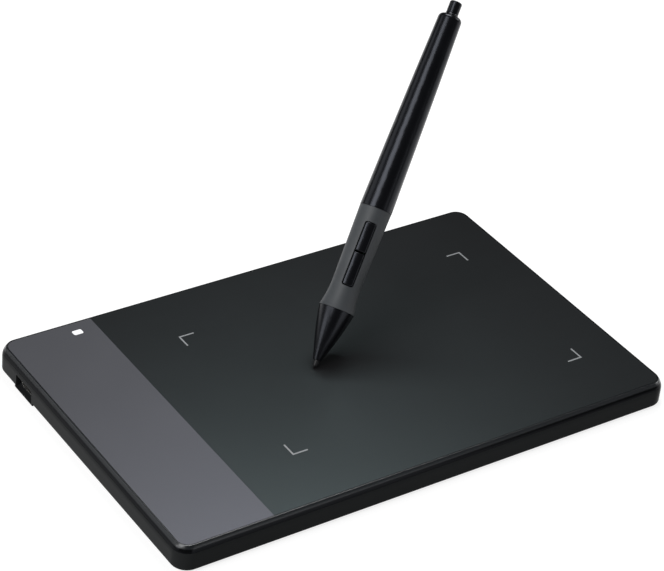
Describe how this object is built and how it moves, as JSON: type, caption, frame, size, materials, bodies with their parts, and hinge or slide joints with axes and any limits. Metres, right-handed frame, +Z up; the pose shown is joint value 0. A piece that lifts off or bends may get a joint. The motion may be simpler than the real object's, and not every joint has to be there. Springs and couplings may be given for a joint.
{
  "type": "graphics tablet",
  "caption": "Thin flat drawing tablet with a side strip and a cable socket, and a slim pen with a grip and side buttons standing on its nib on the sheet.",
  "frame": {"origin": "on the table under the middle of the tablet", "axes": "+X to the right along the tablet's length, away from the side strip; +Y to the back; +Z up, out of the drawing sheet"},
  "size_m": [0.175, 0.111, 0.1015],
  "materials": {
    "cover": "polished black, moulded",
    "base": "fine satin moulded",
    "sheet": "matt, finely grained",
    "strip": "matt grey, finely grained",
    "window": "milky, clear enough to pass light",
    "board": "green solder mask on glass fibre",
    "chip": "moulded package",
    "capacitor": "fired ceramic",
    "steel": "plain sheet steel",
    "foam": "soft foam",
    "tongue": "moulded",
    "contact": "gold plated",
    "lamp": "clear cast",
    "foot": "soft, matt",
    "nib": "hard, smooth",
    "pen_gloss": "polished black",
    "grip": "satin, soft",
    "core": "moulded",
    "ferrite": "pressed and fired ferrite",
    "winding": "enamelled copper wire",
    "pad": "soft, conductive",
    "switch": "moulded"
  },
  "bodies": {
    "tablet": {"bottom_cover": "base", "top_cover": "cover", "drawing_sheet": "sheet", "side_strip": "strip", "indicator_window": "window", "sensor_board": "board", "shield_plate": "steel", "foam_strips": "foam", "controller_chip": "chip", "switch_chips": "chip", "crystal": "steel", "socket_shell": "steel", "socket_tongue": "tongue", "socket_contacts": "contact", "status_lamp": "lamp", "case_screws": "steel", "front_left_foot": "foot", "front_right_foot": "foot", "back_left_foot": "foot", "back_right_foot": "foot"},
    "pen": {"nose_cone": "pen_gloss", "grip_sleeve": "grip", "pen_core": "core", "barrel": "pen_gloss", "ferrite_sleeve": "ferrite", "coil_winding": "winding", "pressure_sensor": "core", "sensor_pad": "pad", "pen_board": "board", "tuning_capacitors": "capacitor", "lower_switch": "switch", "upper_switch": "switch"},
    "pen_nib": {"nib": "nib", "nib_holder": "core"},
    "pen_lower_button": {"lower_button": "pen_gloss", "lower_switch_stem": "core"},
    "pen_upper_button": {"upper_button": "pen_gloss", "upper_switch_stem": "core"}
  },
  "joints": [
    {"name": "pen_lift", "type": "slide", "parent": "tablet", "child": "pen", "axis": [0, 0, 1], "range_m": [0, 0.06]},
    {"name": "nib_press", "type": "slide", "parent": "pen", "child": "pen_nib", "axis": [0.5728, 0.3241, 0.7529], "range_m": [0, 0.0007], "stiffness_N_per_m": 3000},
    {"name": "lower_button_press", "type": "slide", "parent": "pen", "child": "pen_lower_button", "axis": [0.4132, 0.679, -0.6067], "range_m": [0, 0.00035], "stiffness_N_per_m": 3750},
    {"name": "upper_button_press", "type": "slide", "parent": "pen", "child": "pen_upper_button", "axis": [0.4132, 0.679, -0.6067], "range_m": [0, 0.00035], "stiffness_N_per_m": 3750}
  ]
}
